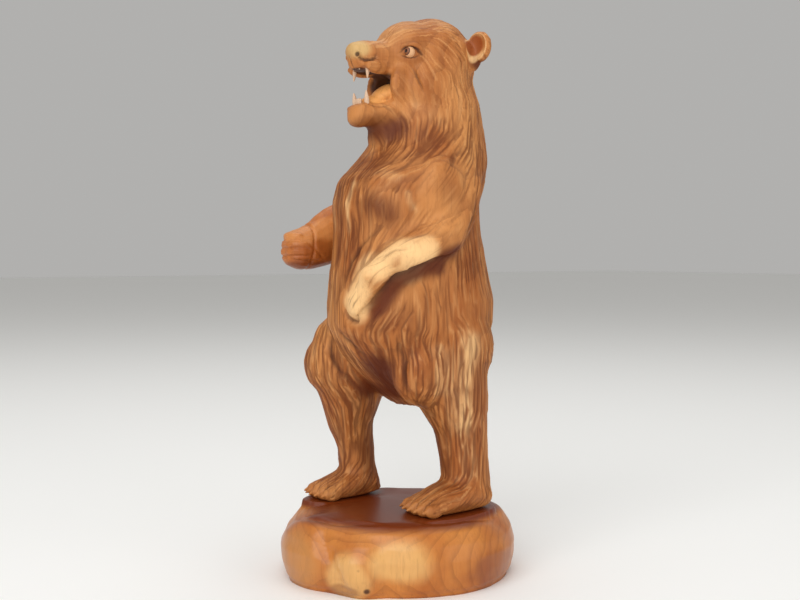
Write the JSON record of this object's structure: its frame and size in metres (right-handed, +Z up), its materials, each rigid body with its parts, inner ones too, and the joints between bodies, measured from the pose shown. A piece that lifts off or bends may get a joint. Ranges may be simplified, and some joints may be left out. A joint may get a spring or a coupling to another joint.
{
  "type": "carved wooden bear figurine",
  "caption": "Standing roaring bear carved in wood with gouged fur, open jaws and set teeth, one paw raised and one across the belly, on a rounded varnished wooden base.",
  "frame": {"origin": "bottom centre of the whole object's bounding box, on the underside of the base", "axes": "+Z up; the bear faces -Y, and its own left side is +X"},
  "size_m": [0.2252, 0.2462, 0.6],
  "materials": {
    "fur_wood": "gouge-carved fur, clear satin varnish, mid brown with pale sapwood streaks",
    "forearm_wood": "smooth, satin varnish, orange brown",
    "base_wood": "smooth, glossy varnish, red brown with pale sapwood patches",
    "tooth_wood": "pale close-grained wood, satin",
    "eye_wood": "dark stained wood, glossy",
    "plain_wood": "plain unvarnished hardwood",
    "screw_steel": "zinc plated"
  },
  "bodies": {
    "root": {"figure": "fur_wood", "right_forearm": "forearm_wood", "base": "base_wood", "upper_canine_left": "tooth_wood", "upper_canine_right": "tooth_wood", "lower_canine_left": "tooth_wood", "lower_canine_right": "tooth_wood", "upper_incisors": "tooth_wood", "lower_incisors": "tooth_wood", "eye_left": "eye_wood", "eye_right": "eye_wood", "forearm_dowel": "plain_wood", "screw_plug_left": "plain_wood", "screw_plug_right": "plain_wood", "foot_screw_left": "screw_steel", "foot_screw_right": "screw_steel"}
  },
  "joints": []
}
